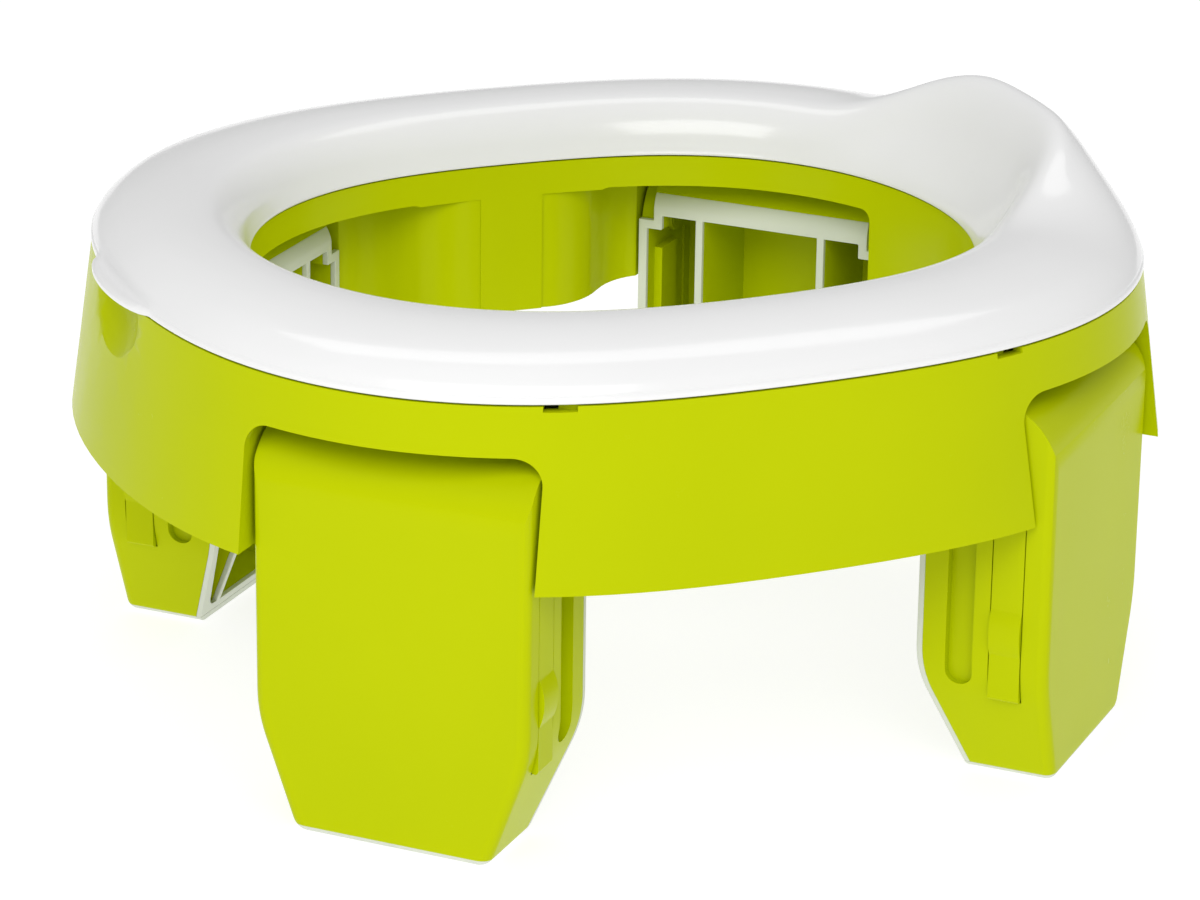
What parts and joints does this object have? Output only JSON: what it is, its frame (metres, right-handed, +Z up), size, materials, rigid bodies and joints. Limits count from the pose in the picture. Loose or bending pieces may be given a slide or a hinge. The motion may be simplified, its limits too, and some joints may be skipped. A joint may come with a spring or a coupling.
{
  "type": "potty training chair",
  "caption": "Portable potty ring with a contoured white seat, drafted skirt and folding box-section legs with press latches.",
  "frame": {"origin": "centre of the chair's footprint on the floor", "axes": "+X towards the raised splash guard, -X towards the lift tab, +Z up"},
  "size_m": [0.3136, 0.2864, 0.1637],
  "materials": {
    "frame_plastic": "glossy lime green moulded plastic",
    "seat_plastic": "polished white moulded plastic",
    "soft_liner": "matt off-white soft overmould",
    "pin_plastic": "satin lime green pin"
  },
  "bodies": {
    "frame": {"frame_ring": "frame_plastic"},
    "seat": {"seat_ring": "seat_plastic"},
    "leg_rear_left": {"leg_shell_rear_left": "frame_plastic", "leg_edge_liner_rear_left": "soft_liner", "leg_foot_pad_rear_left": "soft_liner", "leg_pins_rear_left": "pin_plastic"},
    "latch_a_rear_left": {"latch_a_rear_left": "frame_plastic"},
    "latch_b_rear_left": {"latch_b_rear_left": "frame_plastic"},
    "leg_rear_right": {"leg_shell_rear_right": "frame_plastic", "leg_edge_liner_rear_right": "soft_liner", "leg_foot_pad_rear_right": "soft_liner", "leg_pins_rear_right": "pin_plastic"},
    "latch_a_rear_right": {"latch_a_rear_right": "frame_plastic"},
    "latch_b_rear_right": {"latch_b_rear_right": "frame_plastic"},
    "leg_front_right": {"leg_shell_front_right": "frame_plastic", "leg_edge_liner_front_right": "soft_liner", "leg_foot_pad_front_right": "soft_liner", "leg_pins_front_right": "pin_plastic"},
    "latch_a_front_right": {"latch_a_front_right": "frame_plastic"},
    "latch_b_front_right": {"latch_b_front_right": "frame_plastic"},
    "leg_front_left": {"leg_shell_front_left": "frame_plastic", "leg_edge_liner_front_left": "soft_liner", "leg_foot_pad_front_left": "soft_liner", "leg_pins_front_left": "pin_plastic"},
    "latch_a_front_left": {"latch_a_front_left": "frame_plastic"},
    "latch_b_front_left": {"latch_b_front_left": "frame_plastic"}
  },
  "joints": [
    {"name": "seat_lift", "type": "slide", "parent": "frame", "child": "seat", "axis": [0, 0, 1], "range_m": [0, 0.035]},
    {"name": "fold_rear_left", "type": "hinge", "parent": "frame", "child": "leg_rear_left", "pos_m": [-0.09334, 0.09334, 0.0975], "axis": [0.7071, 0.7071, 0], "range_deg": [-90, 90]},
    {"name": "press_a_rear_left", "type": "hinge", "parent": "leg_rear_left", "child": "latch_a_rear_left", "pos_m": [-0.12565, 0.06901, 0.0284], "axis": [-0.7071, 0.7071, 0], "range_deg": [0, 3], "stiffness_Nm_per_rad": 0.4},
    {"name": "press_b_rear_left", "type": "hinge", "parent": "leg_rear_left", "child": "latch_b_rear_left", "pos_m": [-0.06901, 0.12565, 0.0284], "axis": [0.7071, -0.7071, 0], "range_deg": [0, 3], "stiffness_Nm_per_rad": 0.4},
    {"name": "fold_rear_right", "type": "hinge", "parent": "frame", "child": "leg_rear_right", "pos_m": [-0.09334, -0.09334, 0.0975], "axis": [-0.7071, 0.7071, 0], "range_deg": [-90, 90]},
    {"name": "press_a_rear_right", "type": "hinge", "parent": "leg_rear_right", "child": "latch_a_rear_right", "pos_m": [-0.06901, -0.12565, 0.0284], "axis": [-0.7071, -0.7071, 0], "range_deg": [0, 3], "stiffness_Nm_per_rad": 0.4},
    {"name": "press_b_rear_right", "type": "hinge", "parent": "leg_rear_right", "child": "latch_b_rear_right", "pos_m": [-0.12565, -0.06901, 0.0284], "axis": [0.7071, 0.7071, 0], "range_deg": [0, 3], "stiffness_Nm_per_rad": 0.4},
    {"name": "fold_front_right", "type": "hinge", "parent": "frame", "child": "leg_front_right", "pos_m": [0.09334, -0.09334, 0.0975], "axis": [-0.7071, -0.7071, 0], "range_deg": [-90, 90]},
    {"name": "press_a_front_right", "type": "hinge", "parent": "leg_front_right", "child": "latch_a_front_right", "pos_m": [0.12565, -0.06901, 0.0284], "axis": [0.7071, -0.7071, 0], "range_deg": [0, 3], "stiffness_Nm_per_rad": 0.4},
    {"name": "press_b_front_right", "type": "hinge", "parent": "leg_front_right", "child": "latch_b_front_right", "pos_m": [0.06901, -0.12565, 0.0284], "axis": [-0.7071, 0.7071, 0], "range_deg": [0, 3], "stiffness_Nm_per_rad": 0.4},
    {"name": "fold_front_left", "type": "hinge", "parent": "frame", "child": "leg_front_left", "pos_m": [0.09334, 0.09334, 0.0975], "axis": [0.7071, -0.7071, 0], "range_deg": [-90, 90]},
    {"name": "press_a_front_left", "type": "hinge", "parent": "leg_front_left", "child": "latch_a_front_left", "pos_m": [0.06901, 0.12565, 0.0284], "axis": [0.7071, 0.7071, 0], "range_deg": [0, 3], "stiffness_Nm_per_rad": 0.4},
    {"name": "press_b_front_left", "type": "hinge", "parent": "leg_front_left", "child": "latch_b_front_left", "pos_m": [0.12565, 0.06901, 0.0284], "axis": [-0.7071, -0.7071, 0], "range_deg": [0, 3], "stiffness_Nm_per_rad": 0.4}
  ]
}
